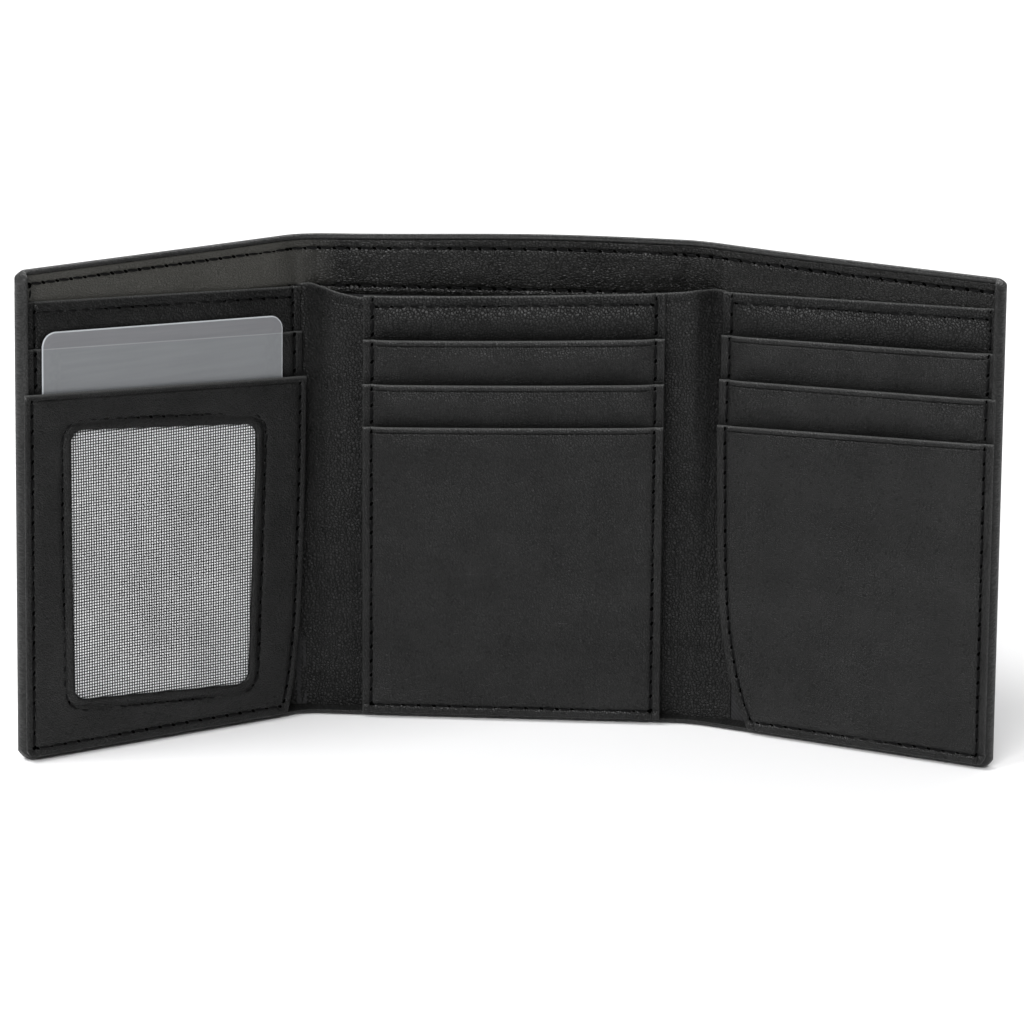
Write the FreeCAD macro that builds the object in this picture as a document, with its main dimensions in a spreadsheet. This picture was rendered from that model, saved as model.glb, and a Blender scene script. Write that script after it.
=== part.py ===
import FreeCAD, Part
import Sketcher
import math
import os

# Trifold wallet, half open and standing on its lower edges.
# Frame: +X along the wallet, +Y towards its outside (the cover), +Z up. Millimetres.
# Each panel is a stack of flat leather pieces. A panel's local frame has u along the
# panel, y = 0 on the face of its front pocket, growing towards the cover, and z up.

os.makedirs("parts", exist_ok=True)
doc = FreeCAD.newDocument("TrifoldWallet")

# ---------------------------------------------------------------- driving sizes
sheet = doc.addObject("Spreadsheet::Sheet", "Sizes")
SIZES = [
    # overall
    ("origin_x", 0.376), ("origin_y", -17.175),
    ("cover_height", 108.0),
    ("left_angle", 36.66), ("left_line_x", -46.34),
    ("right_angle", -23.26), ("right_line_x", 37.93),
    ("pocket_lean", 3.507),
    # layers, depth from the front pocket's face
    ("front_y", 0.0), ("front_thick", 0.9),
    ("middle_y", 1.0), ("middle_thick", 0.7),
    ("upper_y", 1.8), ("upper_thick", 0.7),
    ("divider_y", 2.6), ("divider_thick", 0.8),
    ("lining_y", 3.6), ("lining_thick", 0.3),
    ("board_y", 4.0), ("board_thick", 0.4),
    ("cover_y", 4.5), ("cover_thick", 1.2),
    ("facing_y", 3.55), ("facing_thick", 0.85),
    ("window_y", 0.95), ("window_thick", 0.2),
    ("insert_y", 1.25), ("insert_thick", 0.4),
    ("thread_thick", 0.3), ("thread_wide", 0.45),
    ("rim_wide", 1.7), ("rim_front", 0.9),
    # heights shared by the panels
    ("floor_z", 0.0), ("rim_top", 1.0), ("stack_z", 1.2), ("lining_z", 2.0),
    ("lining_top", 95.3), ("facing_low", 95.5), ("facing_top", 107.0),
    # centre panel
    ("c_cover_left", -36.8), ("c_cover_right", 35.0),
    ("c_left", -33.9), ("c_right", 32.0),
    ("c_tongue_left", -28.0), ("c_tongue_right", 26.1),
    ("c_divider_top", 97.9), ("c_upper_top", 88.0), ("c_middle_top", 78.1),
    ("c_front_top", 68.4), ("c_upper_low", 62.0), ("c_middle_low", 52.0),
    # left panel (u runs from the outer edge, negative, to the fold)
    ("l_outer", -69.6), ("l_stack", -67.7), ("l_inner", 0.0), ("l_inner_low", -4.4),
    ("l_inner_mid", -1.3), ("l_cover_in", 1.0),
    ("l_bend_z", 36.0), ("l_bend_mid_z", 16.0),
    ("l_divider_out", 101.2), ("l_divider_in", 98.2),
    ("l_rear_out", 90.8), ("l_rear_in", 88.0),
    ("l_front_out", 81.2), ("l_front_in", 78.3),
    ("l_tongue_out", -61.5), ("l_tongue_in", -6.5), ("l_rear_low", 62.0),
    ("w_left", -58.0), ("w_right", -12.2), ("w_right_low", -13.6),
    ("w_top_left", 71.4), ("w_top_right", 68.6), ("w_low_left", 12.2), ("w_low_right", 10.8),
    ("m_left", -61.0), ("m_right", -9.4), ("m_top", 74.0), ("m_low", 8.4),
    ("i_left", -65.2), ("i_right", -5.8), ("i_low", 4.0),
    ("i_top_left", 94.5), ("i_top_right", 92.0),
    # right panel (u runs from the fold to the outer edge)
    ("r_outer", 72.0), ("r_stack", 70.0), ("r_inner", 6.2), ("r_inner_mid", 8.4),
    ("r_inner_low", 13.6), ("r_cover_in", 3.5),
    ("r_bend_z", 32.6), ("r_bend_mid_z", 12.9),
    ("r_divider_in", 98.9), ("r_divider_out", 101.9),
    ("r_upper_in", 89.4), ("r_upper_out", 92.0),
    ("r_middle_in", 79.7), ("r_middle_out", 82.1),
    ("r_front_in", 70.0), ("r_front_out", 72.2),
    ("r_tongue_in", 14.5), ("r_tongue_out", 63.5),
    ("r_upper_low", 62.0), ("r_middle_low", 54.0),
    # folds
    ("fold_bow", 0.9), ("fold_z", 0.4), ("gusset_top", 99.6), ("gusset_gap", 0.25),
]
VALUE = {}
for row, (alias, value) in enumerate(SIZES, start=1):
    sheet.set("A%d" % row, alias)
    sheet.set("B%d" % row, repr(float(value)))
    sheet.setAlias("B%d" % row, alias)
    VALUE[alias] = float(value)
doc.recompute()

V = FreeCAD.Vector
ROOT = V(-VALUE["origin_x"], -VALUE["origin_y"], 0)


def origin_plane(body, role):
    for feature in body.Origin.OriginFeatures:
        if feature.Role == role:
            return feature
    raise RuntimeError("no plane " + role)


def outline(body, name, plane, corners):
    """A closed outline whose corners are each held to two cells of the sheet."""
    sketch = body.newObject("Sketcher::SketchObject", name)
    sketch.AttachmentSupport = [(origin_plane(body, plane), "")]
    sketch.MapMode = "FlatFace"
    points = [V(VALUE[a], VALUE[b], 0) for a, b in corners]
    count = len(points)
    for i in range(count):
        sketch.addGeometry(Part.LineSegment(points[i], points[(i + 1) % count]), False)
    for i in range(count):
        sketch.addConstraint(Sketcher.Constraint("Coincident", i, 2, (i + 1) % count, 1))
    for i, (a, b) in enumerate(corners):
        for kind, alias in (("DistanceX", a), ("DistanceY", b)):
            k = sketch.addConstraint(Sketcher.Constraint(kind, -1, 1, i, 1, VALUE[alias]))
            sketch.setExpression("Constraints[%d]" % k, "Sizes." + alias)
    return sketch


def pad_on_front(body, name, corners, depth, thick):
    """Pads an outline drawn in the panel's face, from the depth into the stack."""
    sketch = outline(body, name + "_outline", "XZ_Plane", corners)
    sketch.setExpression("AttachmentOffset.Base.z", "-Sizes." + depth)
    pad = body.newObject("PartDesign::Pad", name)
    pad.Profile = sketch
    pad.Reversed = True
    pad.setExpression("Length", "Sizes." + thick)
    return pad


def place(body, panel):
    """Puts a piece from its panel's local frame into the wallet's frame."""
    if panel == "left":
        turn = FreeCAD.Rotation(V(0, 0, 1), VALUE["left_angle"])
        body.Placement = FreeCAD.Placement(V(VALUE["left_line_x"], 0, 0) + ROOT, turn)
    elif panel == "right":
        turn = FreeCAD.Rotation(V(0, 0, 1), VALUE["right_angle"])
        body.Placement = FreeCAD.Placement(V(VALUE["right_line_x"], 0, 0) + ROOT, turn)
    elif panel == "lean":
        turn = FreeCAD.Rotation(V(1, 0, 0), VALUE["pocket_lean"])
        body.Placement = FreeCAD.Placement(ROOT, turn)
    else:
        body.Placement = FreeCAD.Placement(ROOT, FreeCAD.Rotation())


NODES = []


def new_body(label):
    body = doc.addObject("PartDesign::Body", label)
    body.Label = label
    NODES.append(body)
    return body


def plate(label, panel, corners, depth, thick):
    body = new_body(label)
    pad_on_front(body, label + "_pad", corners, depth, thick)
    place(body, panel)
    return body


def box_corners(a, b, low, high):
    return [(a, low), (b, low), (b, high), (a, high)]


def tee(a, b, ta, tb, low, shoulder, top_a, top_b):
    """A T-shaped card pocket: a full-width band on a narrower tongue."""
    return [(ta, low), (tb, low), (tb, shoulder), (b, shoulder), (b, top_b), (a, top_a), (a, shoulder), (ta, shoulder)]


# ---------------------------------------------------------------- cover pieces
def cover(label, panel, a, b, outer):
    """The outer leather with its turned-in rim along the free edges."""
    body = new_body(label)
    pad_on_front(body, label + "_skin", box_corners(a, b, "floor_z", "cover_height"), "cover_y", "cover_thick")
    rim = body_rim(body, label, a, b, outer)
    place(body, panel)
    return body


def body_rim(body, label, a, b, outer):
    doc.recompute()
    # turned edge below the pockets
    sketch = outline(body, label + "_low_outline", "XZ_Plane", box_corners(a, b, "floor_z", "rim_top"))
    sketch.setExpression("AttachmentOffset.Base.z", "-Sizes.rim_front")
    pad = body.newObject("PartDesign::Pad", label + "_low_edge")
    pad.Profile = sketch
    pad.Reversed = True
    pad.setExpression("Length", "Sizes.cover_y - Sizes.rim_front")
    if outer:
        edge = label + "_edge"
        inner = edge_alias[outer]
        corners = box_corners(outer, inner, "floor_z", "cover_height")
        sketch = outline(body, edge + "_outline", "XZ_Plane", corners)
        sketch.setExpression("AttachmentOffset.Base.z", "-Sizes.rim_front")
        pad = body.newObject("PartDesign::Pad", edge)
        pad.Profile = sketch
        pad.Reversed = True
        pad.setExpression("Length", "Sizes.cover_y - Sizes.rim_front")
    return pad


def add_cell(alias, value):
    row = len(VALUE) + 1
    sheet.set("A%d" % row, alias)
    sheet.set("B%d" % row, repr(float(value)))
    sheet.setAlias("B%d" % row, alias)
    VALUE[alias] = float(value)


add_cell("l_rim_in", VALUE["l_outer"] + VALUE["rim_wide"])
add_cell("r_rim_in", VALUE["r_outer"] - VALUE["rim_wide"])
add_cell("c_lining_left", VALUE["c_cover_left"] + 2.2)
add_cell("c_lining_right", VALUE["c_cover_right"] - 2.2)
add_cell("l_lining_in", VALUE["l_cover_in"] - 2.2)
add_cell("l_lining_out", VALUE["l_rim_in"] + 0.3)
add_cell("r_lining_in", VALUE["r_cover_in"] + 2.2)
add_cell("r_lining_out", VALUE["r_rim_in"] - 0.3)
add_cell("l_stack_in", VALUE["l_inner"])
doc.recompute()
edge_alias = {"l_outer": "l_rim_in", "r_outer": "r_rim_in"}

cover("cover_center", "center", "c_cover_left", "c_cover_right", None)
cover("cover_left", "left", "l_outer", "l_cover_in", "l_outer")
cover("cover_right", "right", "r_cover_in", "r_outer", "r_outer")

for side, panel, a, b in (("center", "center", "c_lining_left", "c_lining_right"),
                          ("left", "left", "l_lining_out", "l_lining_in"),
                          ("right", "right", "r_lining_in", "r_lining_out")):
    plate("cover_stiffener_" + side, panel, box_corners(a, b, "lining_z", "lining_top"), "board_y", "board_thick")
    plate("bill_lining_" + side, panel, box_corners(a, b, "lining_z", "lining_top"), "lining_y", "lining_thick")
    plate("facing_strip_" + side, panel, box_corners(a, b, "facing_low", "facing_top"), "facing_y", "facing_thick")

# ---------------------------------------------------------------- centre pockets
plate("divider_center", "lean", box_corners("c_left", "c_right", "stack_z", "c_divider_top"), "divider_y", "divider_thick")
plate("slot_center_upper", "lean", tee("c_left", "c_right", "c_tongue_left", "c_tongue_right", "stack_z", "c_upper_low", "c_upper_top", "c_upper_top"), "upper_y", "upper_thick")
plate("slot_center_middle", "lean", tee("c_left", "c_right", "c_tongue_left", "c_tongue_right", "stack_z", "c_middle_low", "c_middle_top", "c_middle_top"), "middle_y", "middle_thick")
plate("slot_center_front", "lean", box_corners("c_left", "c_right", "stack_z", "c_front_top"), "front_y", "front_thick")


# ---------------------------------------------------------------- left pockets
def left_stack(top_out, top_in):
    return [("l_stack", "stack_z"), ("l_inner_low", "stack_z"), ("l_inner_mid", "l_bend_mid_z"),
            ("l_inner", "l_bend_z"), ("l_inner", top_in), ("l_stack", top_out)]


plate("divider_left", "left", left_stack("l_divider_out", "l_divider_in"), "divider_y", "divider_thick")
plate("slot_left_rear", "left", tee("l_stack", "l_inner", "l_tongue_out", "l_tongue_in", "stack_z", "l_rear_low", "l_rear_out", "l_rear_in"), "upper_y", "upper_thick")

frame = plate("id_window_frame", "left", left_stack("l_front_out", "l_front_in"), "front_y", "front_thick")
doc.recompute()
full = frame.Shape.Volume
hole = outline(frame, "window_outline", "XZ_Plane", [("w_left", "w_low_left"), ("w_right_low", "w_low_right"), ("w_right", "w_top_right"), ("w_left", "w_top_left")])
cut = frame.newObject("PartDesign::Pocket", "window_opening")
cut.Profile = hole
cut.Type = 1
cut.Midplane = True
doc.recompute()
if frame.Shape.Volume > full - 1000.0:
    raise RuntimeError("the window was not cut")
corner_edges = []
for i, edge in enumerate(frame.Shape.Edges, start=1):
    if len(edge.Vertexes) == 2 and abs(edge.Length - VALUE["front_thick"]) < 1e-4:
        local = frame.Placement.inverse().multVec(edge.Vertexes[0].Point)
        if VALUE["w_left"] - 0.1 < local.x < VALUE["w_right"] + 0.1 and 10 < local.z < 72:
            corner_edges.append("Edge%d" % i)
if len(corner_edges) != 4:
    raise RuntimeError("the window has %d corners" % len(corner_edges))
soften = frame.newObject("PartDesign::Fillet", "window_corners")
soften.Base = (cut, corner_edges)
soften.Radius = 2.6

plate("id_window_mesh", "left", box_corners("m_left", "m_right", "m_low", "m_top"), "window_y", "window_thick")
plate("id_insert_sheet", "left", [("i_left", "i_low"), ("i_right", "i_low"), ("i_right", "i_top_right"), ("i_left", "i_top_left")], "insert_y", "insert_thick")


# ---------------------------------------------------------------- right pockets
def right_stack(top_in, top_out):
    return [("r_inner_low", "stack_z"), ("r_stack", "stack_z"), ("r_stack", top_out), ("r_inner", top_in),
            ("r_inner", "r_bend_z"), ("r_inner_mid", "r_bend_mid_z")]


plate("divider_right", "right", right_stack("r_divider_in", "r_divider_out"), "divider_y", "divider_thick")
plate("slot_right_upper", "right", tee("r_inner", "r_stack", "r_tongue_in", "r_tongue_out", "stack_z", "r_upper_low", "r_upper_in", "r_upper_out"), "upper_y", "upper_thick")
plate("slot_right_middle", "right", tee("r_inner", "r_stack", "r_tongue_in", "r_tongue_out", "stack_z", "r_middle_low", "r_middle_in", "r_middle_out"), "middle_y", "middle_thick")
plate("slot_right_front", "right", right_stack("r_front_in", "r_front_out"), "front_y", "front_thick")


# ---------------------------------------------------------------- folds
def panel_point(panel, u, y):
    if panel == "left":
        a, x0 = math.radians(VALUE["left_angle"]), VALUE["left_line_x"]
    else:
        a, x0 = math.radians(VALUE["right_angle"]), VALUE["right_line_x"]
    return (x0 + u * math.cos(a) - y * math.sin(a), u * math.sin(a) + y * math.cos(a))


def plan_cells(name, points):
    names = []
    for i, (x, y) in enumerate(points):
        add_cell("%s_px_%s" % (name, "abcdefgh"[i]), x)
        add_cell("%s_py_%s" % (name, "abcdefgh"[i]), y)
        names.append(("%s_px_%s" % (name, "abcdefgh"[i]), "%s_py_%s" % (name, "abcdefgh"[i])))
    return names


cy, ct, bow = VALUE["cover_y"], VALUE["cover_thick"], VALUE["fold_bow"]
for side, crease, inner in (("left", VALUE["c_cover_left"] - 0.1, VALUE["l_cover_in"] + 0.1),
                            ("right", VALUE["c_cover_right"] + 0.1, VALUE["r_cover_in"] - 0.1)):
    fx, fy = panel_point(side, inner, cy)
    bx, by = panel_point(side, inner, cy + ct)
    mx, my = (crease + fx) / 2.0, (cy + fy) / 2.0 + bow
    cells = plan_cells("fold_" + side, [(crease, cy), (mx, my), (fx, fy), (bx, by), (mx, my + ct), (crease, cy + ct)])
    doc.recompute()
    body = new_body("cover_fold_" + side)
    sketch = outline(body, "fold_outline_" + side, "XY_Plane", cells)
    sketch.setExpression("AttachmentOffset.Base.z", "Sizes.floor_z")
    pad = body.newObject("PartDesign::Pad", "fold_pad_" + side)
    pad.Profile = sketch
    pad.setExpression("Length", "Sizes.cover_height")
    place(body, "center")

lean = math.radians(VALUE["pocket_lean"])
gap = VALUE["gusset_gap"]
dy, dt = VALUE["divider_y"], VALUE["divider_thick"]
for side, edge in (("left", VALUE["c_left"] - gap), ("right", VALUE["c_right"] + gap)):
    rings = []
    for z, tag in ((VALUE["stack_z"], "low"), (VALUE["gusset_top"], "high")):
        if side == "left":
            inner = VALUE["l_inner_low"] + gap if tag == "low" else VALUE["l_inner"] + gap
            inner = VALUE["l_inner"] + gap
        else:
            inner = VALUE["r_inner"] - gap
        shift = -z * math.tan(lean)
        ax, ay = edge, dy + shift
        fx, fy = panel_point(side, inner, dy)
        bx, by = panel_point(side, inner, dy + dt)
        push = 0.0 if tag == "low" else -1.6
        mx, my = (ax + fx) / 2.0, (ay + fy) / 2.0 + push
        rings.append((z, plan_cells("gusset_%s_%s" % (side, tag), [(ax, ay), (mx, my), (fx, fy), (bx, by), (mx, my + dt), (ax, ay + dt)])))
    doc.recompute()
    body = new_body("gusset_" + side)
    sketches = []
    for (z, cells), alias in zip(rings, ("stack_z", "gusset_top")):
        sketch = outline(body, "gusset_outline_%s_%s" % (side, alias), "XY_Plane", cells)
        sketch.setExpression("AttachmentOffset.Base.z", "Sizes." + alias)
        sketches.append(sketch)
    doc.recompute()
    loft = body.newObject("PartDesign::AdditiveLoft", "gusset_loft_" + side)
    loft.Profile = sketches[0]
    loft.Sections = [sketches[1]]
    loft.Ruled = True
    place(body, "center")


# ---------------------------------------------------------------- seams
def threads(label, panel, runs):
    """Rows of sewing thread lying on the leather; each run is (u0, z0, u1, z1, y)."""
    w, deep = VALUE["thread_wide"], VALUE["thread_thick"]
    bars = []
    for u0, z0, u1, z1, y in runs:
        length = math.hypot(u1 - u0, z1 - z0)
        bar = Part.makeBox(length, deep, w, V(0, y - deep, -w / 2.0))
        bar.rotate(V(0, 0, 0), V(0, 1, 0), -math.degrees(math.atan2(z1 - z0, u1 - u0)))
        bar.translate(V(u0, 0, z0))
        bars.append(bar)
    piece = doc.addObject("Part::Feature", label)
    piece.Label = label
    piece.Shape = Part.makeCompound(bars)
    place(piece, panel)
    NODES.append(piece)


front = VALUE["front_y"] - 0.01
facing = VALUE["facing_y"] - 0.01
threads("seam_thread_left", "left", [
    (-66.0, 4.0, -66.0, 79.0, front), (-64.8, 3.2, -7.5, 2.6, front),
    (-2.0, 37.5, -2.0, 76.5, front), (-67.0, 104.4, -1.6, 104.4, facing)])
threads("window_thread", "left", [
    (-60.6, 11.6, -60.6, 72.6, front), (-59.6, 73.4, -11.2, 70.6, front),
    (-9.9, 69.4, -11.4, 9.8, front), (-12.6, 8.7, -59.4, 10.1, front)])
threads("seam_thread_right", "right", [
    (8.4, 34.5, 8.4, 68.0, front), (16.5, 2.9, 67.5, 2.9, front),
    (68.5, 4.0, 68.5, 70.0, front), (6.0, 104.4, 69.8, 104.4, facing)])
# the centre's seams: two on the leaning pockets, one along the top of the cover
w, deep = VALUE["thread_wide"], VALUE["thread_thick"]
rows = [Part.makeBox(w, deep, 64.5, V(-32.0, front - deep, 3.0)),
        Part.makeBox(w, deep, 64.5, V(29.9, front - deep, 3.0)),
        Part.makeBox(59.4, deep, w, V(-30.5, front - deep, 2.6))]
for row in rows:
    row.rotate(V(0, 0, 0), V(1, 0, 0), VALUE["pocket_lean"])
rows.append(Part.makeBox(66.0, deep, w, V(-34.2, facing - deep, 104.2)))
piece = doc.addObject("Part::Feature", "seam_thread_center")
piece.Label = "seam_thread_center"
piece.Shape = Part.makeCompound(rows)
place(piece, "center")
NODES.append(piece)

# ---------------------------------------------------------------- checks and files
doc.recompute()
for obj in doc.Objects:
    if "Invalid" in obj.State or "Error" in obj.State:
        raise RuntimeError("%s failed: %s" % (obj.Label, obj.State))
box = FreeCAD.BoundBox()
for piece in NODES:
    shape = piece.Shape
    if shape.isNull() or not shape.isValid() or shape.Volume <= 0:
        raise RuntimeError(piece.Label + " has no valid solid")
    box.add(shape.BoundBox)
    print("%-26s solids %2d  volume %9.1f  x %7.1f..%7.1f  y %7.1f..%7.1f  z %6.1f..%6.1f" % (
        piece.Label, len(shape.Solids), shape.Volume, shape.BoundBox.XMin, shape.BoundBox.XMax,
        shape.BoundBox.YMin, shape.BoundBox.YMax, shape.BoundBox.ZMin, shape.BoundBox.ZMax))
print("whole", box)
for piece in NODES:
    piece.Shape.exportStep("parts/%s.step" % piece.Label)
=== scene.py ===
import math
import bpy
import numpy as np
from mathutils import Vector, Matrix, Euler


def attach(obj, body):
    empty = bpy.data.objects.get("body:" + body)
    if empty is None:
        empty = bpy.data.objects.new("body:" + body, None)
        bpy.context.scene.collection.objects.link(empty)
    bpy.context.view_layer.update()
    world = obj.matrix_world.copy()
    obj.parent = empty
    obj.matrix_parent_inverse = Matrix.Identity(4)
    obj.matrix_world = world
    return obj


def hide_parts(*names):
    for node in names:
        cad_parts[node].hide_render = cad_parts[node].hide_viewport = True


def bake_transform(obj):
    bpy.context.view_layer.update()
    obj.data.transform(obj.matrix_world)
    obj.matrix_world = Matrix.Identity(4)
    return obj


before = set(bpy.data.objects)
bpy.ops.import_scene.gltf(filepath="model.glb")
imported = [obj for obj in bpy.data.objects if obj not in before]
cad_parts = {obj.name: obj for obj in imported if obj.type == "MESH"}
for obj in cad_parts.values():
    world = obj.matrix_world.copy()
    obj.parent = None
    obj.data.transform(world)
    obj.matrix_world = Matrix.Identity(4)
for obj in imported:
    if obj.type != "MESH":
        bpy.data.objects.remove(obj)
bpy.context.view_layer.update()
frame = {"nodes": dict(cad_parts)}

# ------------------------------------------------------------------ the frame, in mm
# The panels' own frames, as the CAD has them: u along a panel, y into its thickness, z up.
OX, OY = 0.376, -17.175
LA, LX = math.radians(36.66), -46.34
RA, RX = math.radians(-23.26), 37.93
LEAN = math.radians(3.507)
H = 108.0


def left(u, y, z):
    return np.stack([LX + u * math.cos(LA) - y * math.sin(LA) - OX, u * math.sin(LA) + y * math.cos(LA) - OY, z + 0 * u], -1)


def right(u, y, z):
    return np.stack([RX + u * math.cos(RA) - y * math.sin(RA) - OX, u * math.sin(RA) + y * math.cos(RA) - OY, z + 0 * u], -1)


def middle(u, y, z):
    return np.stack([u - OX + 0 * z, y - OY + 0 * z, z + 0 * u], -1)


def leaning(u, y, z):
    return np.stack([u - OX + 0 * z, y * math.cos(LEAN) - z * math.sin(LEAN) - OY, y * math.sin(LEAN) + z * math.cos(LEAN)], -1)


PANEL = {"left": left, "right": right, "center": middle, "lean": leaning}
BODY = {"left": "left_panel", "right": "right_panel", "center": "center", "lean": "center"}


def smooth(x):
    x = np.clip(x, 0.0, 1.0)
    return x * x * (3 - 2 * x)


def waves(p, q, amp, length, seed):
    """A gentle, fixed unevenness of leather: a few crossed waves."""
    rng = np.random.RandomState(seed)
    out = 0.0
    for i in range(6):
        ang, ph = rng.uniform(0, math.pi), rng.uniform(0, 6.28)
        k = 6.283 / (length * rng.uniform(0.6, 1.6))
        out = out + np.sin(k * (p * math.cos(ang) + q * math.sin(ang)) + ph)
    return amp * out / 2.4


EDGE = [0, 0.03, 0.1, 0.2, 0.34, 0.5, 0.7, 0.95, 1.1, 1.22, 1.3, 1.38, 1.5, 1.7, 1.85, 2.0, 2.15, 2.3, 2.6, 3.1, 3.8, 4.8, 6.2, 8.2]


def ticks(length, step=2.2, near=EDGE, far=EDGE):
    """Positions from 0 to 1 that are dense towards both ends, for edges and seams."""
    a = [e for e in near if e < length * 0.45]
    b = [length - e for e in far if e < length * 0.45]
    lo, hi = max(a), min(b)
    n = max(2, int((hi - lo) / step))
    mid = list(np.linspace(lo, hi, n + 1)[1:-1])
    return np.array(sorted(a + mid + b)) / length


# ------------------------------------------------------------------ mesh builders
def make(name, verts, faces, smooth_shade=True):
    mesh = bpy.data.meshes.new(name)
    v = np.asarray(verts, float) / 1000.0
    mesh.from_pydata([tuple(p) for p in v.tolist()], [], faces)
    mesh.validate()
    mesh.update()
    if smooth_shade:
        mesh.polygons.foreach_set("use_smooth", [True] * len(mesh.polygons))
    obj = bpy.data.objects.new(name, mesh)
    bpy.context.scene.collection.objects.link(obj)
    return obj


def store_rest(obj, values):
    """Keeps each point's place on its own panel, in mm, for grain that stays put."""
    att = obj.data.attributes.new("rest", "FLOAT_VECTOR", "POINT")
    att.data.foreach_set("vector", np.asarray(values, float).ravel())


def store_edge_highlight(obj, values):
    """Painted highlight: how far each point is made paler, from 0 to 1, as along a folded edge that catches the light.
    """
    att = obj.data.attributes.new("edge_highlight", "FLOAT", "POINT")
    att.data.foreach_set("value", np.asarray(values, float).ravel())


# painted shade: how much sheen is taken away, from 0 to 1, over the next opening and along the pressed lines
def store_shade(obj, values):
    att = obj.data.attributes.new("shade", "FLOAT", "POINT")
    att.data.foreach_set("value", np.asarray(values, float).ravel())


def shell_mesh(name, front, back, rest, cap=None, edge_highlight=None, shade=None):
    """A closed sheet from two grids (rows, columns, 3) that share their border; the column in
    cap keeps its thickness and is closed by a flat, sharp-edged end."""
    n, m = front.shape[:2]
    idx_f = np.arange(n * m).reshape(n, m)
    idx_b = idx_f.copy() + n * m
    idx_b[0, :], idx_b[-1, :] = idx_f[0, :], idx_f[-1, :]
    for c in (0, -1):
        if c != cap:
            idx_b[:, c] = idx_f[:, c]
    faces = []
    if cap is not None:
        for i in range(n - 1):
            q = [idx_f[i, cap], idx_f[i + 1, cap], idx_b[i + 1, cap], idx_b[i, cap]]
            q = q[::-1] if cap == -1 else q
            q = [int(a) for k, a in enumerate(q) if a != q[k - 1]]
            if len(q) > 2:
                faces.append(q)
    a, b, c, d = idx_f[:-1, :-1], idx_f[:-1, 1:], idx_f[1:, 1:], idx_f[1:, :-1]
    faces += np.stack([a, b, c, d], -1).reshape(-1, 4).tolist()
    a, b, c, d = idx_b[:-1, :-1], idx_b[:-1, 1:], idx_b[1:, 1:], idx_b[1:, :-1]
    faces += np.stack([d, c, b, a], -1).reshape(-1, 4).tolist()
    verts = np.concatenate([front.reshape(-1, 3), back.reshape(-1, 3)])
    rest = np.concatenate([rest.reshape(-1, 3), rest.reshape(-1, 3) + [0, 2.0, 0]])
    used = np.unique(np.concatenate([np.array(q) for q in faces]))
    remap = np.zeros(used[-1] + 1, int)
    remap[used] = np.arange(len(used))
    verts, rest = verts[used], rest[used]
    faces = [[int(remap[a]) for a in q] for q in faces]
    obj = make(name, verts, faces)
    store_rest(obj, rest)
    if edge_highlight is not None:
        store_edge_highlight(obj, np.concatenate([edge_highlight.ravel(), edge_highlight.ravel()])[used])
    if shade is not None:
        store_shade(obj, np.concatenate([shade.ravel(), shade.ravel()])[used])
    if cap is not None:
        ends = set(int(remap[a]) for a in list(idx_f[:, cap]) + list(idx_b[:, cap]))
        for edge in obj.data.edges:
            if edge.vertices[0] in ends and edge.vertices[1] in ends:
                edge.use_edge_sharp = True
    return obj


def corner(u, z, du, dz, r, su, sz):
    """Rounds a corner; du and dz are the distances from its two edges, su and sz point inwards."""
    inside = (du < r) & (dz < r)
    qx, qy = np.clip(r - du, 0, r), np.clip(r - dz, 0, r)
    k = np.maximum(qx, qy) / (np.sqrt(qx * qx + qy * qy) + 1e-9)
    nu, nz = u + su * ((r - qx * k) - du), z + sz * ((r - qy * k) - dz)
    return np.where(inside, nu, u), np.where(inside, nz, z)


def rounding(e, r):
    """From 0 at an edge to 1 one radius in, as a quarter circle."""
    x = np.clip(e / r, 0, 1)
    return np.sqrt(np.clip(1 - (1 - x) ** 2, 0, 1))


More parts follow.
